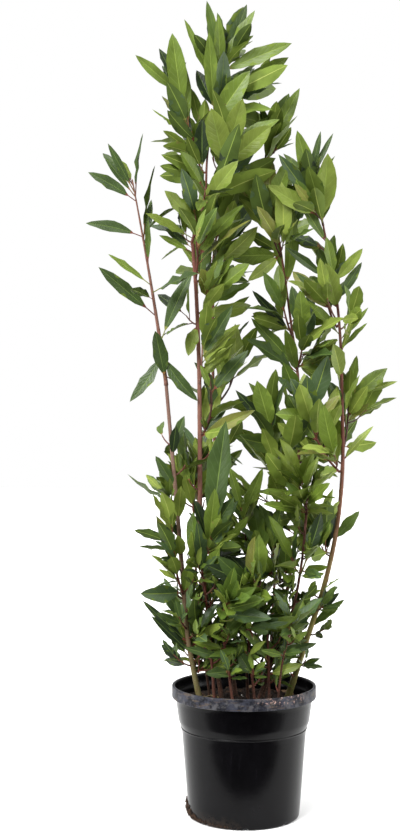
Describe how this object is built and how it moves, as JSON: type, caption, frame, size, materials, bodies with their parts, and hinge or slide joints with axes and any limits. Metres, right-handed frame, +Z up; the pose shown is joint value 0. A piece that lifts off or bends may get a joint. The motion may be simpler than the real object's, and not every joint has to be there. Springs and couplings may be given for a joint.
{
  "type": "potted bay laurel bush",
  "caption": "Slender, unclipped bay laurel bush with several stems from the soil, in a round black plastic nursery pot with a broad rim band.",
  "frame": {"origin": "centre of the pot's flat underside", "axes": "+Z up along the pot's axis; -Y towards the side the bush is seen from; +X to the right of that view"},
  "size_m": [0.5025, 0.343, 1.2555],
  "materials": {
    "black_plastic": "black moulded plastic with a soft sheen, dusty on the rim band",
    "compost": "dark crumbly potting compost",
    "old_bark": "smooth grey-brown bark, olive near the soil",
    "young_bark": "smooth red-brown young bark",
    "leaf_green": "leathery leaf, satin above and matt below"
  },
  "bodies": {
    "root": {"pot": "black_plastic", "compost": "compost", "left_stem": "old_bark", "centre_stem": "old_bark", "leader": "young_bark", "back_stem": "old_bark", "middle_stem": "old_bark", "middle_right_stem": "young_bark", "right_stem": "old_bark", "left_inner_stem": "young_bark", "low_left_stem": "young_bark", "low_front_stem": "young_bark", "low_middle_stem": "young_bark", "low_right_stem": "young_bark", "low_outer_stem": "young_bark", "inner_stem": "young_bark", "back_left_stem": "young_bark", "back_right_stem": "young_bark", "left_spire_leaves": "leaf_green", "leader_tip_leaves": "leaf_green", "leader_side_leaves": "leaf_green", "top_right_leaves": "leaf_green", "top_left_leaves": "leaf_green", "upper_middle_leaves": "leaf_green", "left_crown_leaves": "leaf_green", "left_high_leaves": "leaf_green", "right_branch_leaves": "leaf_green", "pink_twig_leaves": "leaf_green", "centre_left_leaves": "leaf_green", "red_twig_leaves": "leaf_green", "back_stem_tip_leaves": "leaf_green", "back_stem_side_leaves": "leaf_green", "middle_tip_leaves": "leaf_green", "middle_high_leaves": "leaf_green", "middle_high_left_leaves": "leaf_green", "middle_upper_left_leaves": "leaf_green", "middle_left_leaves": "leaf_green", "middle_front_leaves": "leaf_green", "right_tip_leaves": "leaf_green", "right_high_left_leaves": "leaf_green", "right_high_outer_leaves": "leaf_green", "right_outer_leaves": "leaf_green", "right_inner_leaves": "leaf_green", "right_low_leaves": "leaf_green", "right_foot_leaves": "leaf_green", "middle_right_tip_leaves": "leaf_green", "middle_right_side_leaves": "leaf_green", "middle_low_leaves": "leaf_green", "left_inner_leaves": "leaf_green", "left_low_leaves": "leaf_green", "left_foot_leaves": "leaf_green", "low_left_leaves": "leaf_green", "low_left_skirt_leaves": "leaf_green", "low_front_leaves": "leaf_green", "low_middle_leaves": "leaf_green", "low_right_leaves": "leaf_green", "low_outer_leaves": "leaf_green", "inner_leaves": "leaf_green", "back_left_leaves": "leaf_green", "back_right_leaves": "leaf_green"}
  },
  "joints": []
}
